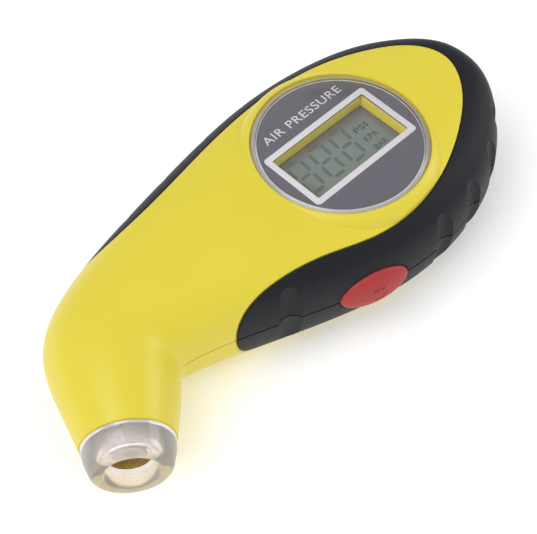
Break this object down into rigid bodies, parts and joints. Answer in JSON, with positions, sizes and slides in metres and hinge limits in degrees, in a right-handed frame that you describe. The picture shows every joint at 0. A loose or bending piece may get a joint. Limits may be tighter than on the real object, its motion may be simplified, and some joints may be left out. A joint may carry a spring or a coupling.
{
  "type": "digital tyre pressure gauge",
  "caption": "Hand-held digital tyre pressure gauge with a bent lit nozzle, a round display, a side button, soft grips and a coin-cell cap.",
  "frame": {"origin": "under the middle of the whole object, on the plane that its back rests on", "axes": "+X along the body from the nozzle end to the rounded head, +Z out of the display, the nozzle points to -X and -Y"},
  "size_m": [0.1226, 0.0524, 0.0265],
  "materials": {
    "yellow_shell": "satin yellow moulding",
    "yellow_shell_rear": "satin yellow moulding",
    "grip_rubber": "matte dark grey",
    "grip_rubber_rear": "matte dark grey",
    "lens_clear": "clear polished plastic",
    "dial_print": "printed dark grey foil",
    "lcd_glass": "grey-green display glass",
    "backlight": "milky light guide",
    "zebra_far": "pinkish conductive strip",
    "zebra_near": "pinkish conductive strip",
    "holder_plastic": "white moulding",
    "board_laminate": "green solder mask",
    "chip_resin": "black resin",
    "screw_zinc_small": "zinc plated",
    "screw_zinc": "zinc plated",
    "button_red": "matte red",
    "switch_black": "black moulding",
    "plunger_black": "black moulding",
    "cell_steel": "bright can",
    "contact_minus": "nickel plated spring strip",
    "contact_plus": "nickel plated spring strip",
    "cap_dark": "dark grey moulding",
    "nozzle_clear": "milky clear moulding",
    "sleeve_brass": "turned brass",
    "seal_rubber": "black rubber",
    "pin_brass": "turned brass",
    "led_resin": "clear resin",
    "sensor_body": "black moulding",
    "tube_silicone": "translucent silicone",
    "lead_insulation": "insulated wire"
  },
  "bodies": {
    "housing": {"front_housing": "yellow_shell", "rear_housing": "yellow_shell_rear", "front_grip": "grip_rubber", "rear_grip": "grip_rubber_rear", "lens": "lens_clear", "dial_plate": "dial_print", "lcd_panel": "lcd_glass", "backlight_panel": "backlight", "zebra_strip_far": "zebra_far", "zebra_strip_near": "zebra_near", "lcd_holder": "holder_plastic", "main_board": "board_laminate", "controller_chip": "chip_resin", "board_screws": "screw_zinc_small", "housing_screws": "screw_zinc", "tact_switch": "switch_black", "coin_cell": "cell_steel", "minus_contact": "contact_minus", "plus_contact": "contact_plus", "nozzle_cap": "nozzle_clear", "valve_sleeve": "sleeve_brass", "valve_seal": "seal_rubber", "depressor_pin": "pin_brass", "nozzle_led": "led_resin", "pressure_sensor": "sensor_body", "air_tube": "tube_silicone", "led_leads": "lead_insulation"},
    "button": {"button_cap": "button_red"},
    "plunger": {"switch_plunger": "plunger_black"},
    "battery_cover": {"battery_cap": "cap_dark"}
  },
  "joints": [
    {"name": "button_press", "type": "slide", "parent": "housing", "child": "button", "axis": [0.2645, 0.9644, 0], "range_m": [0, 0.0006], "stiffness_N_per_m": 2000},
    {"name": "plunger_press", "type": "slide", "parent": "housing", "child": "plunger", "axis": [0.2645, 0.9644, 0], "range_m": [0, 0.0006]},
    {"name": "battery_cap_turn", "type": "hinge", "parent": "housing", "child": "battery_cover", "pos_m": [0.02109, 0.00001, 0.0003], "axis": [0, 0, -1], "range_deg": [0, 60]}
  ],
  "couplings": [
    {"joint": "plunger_press", "follows": "button_press", "ratio": 1}
  ]
}
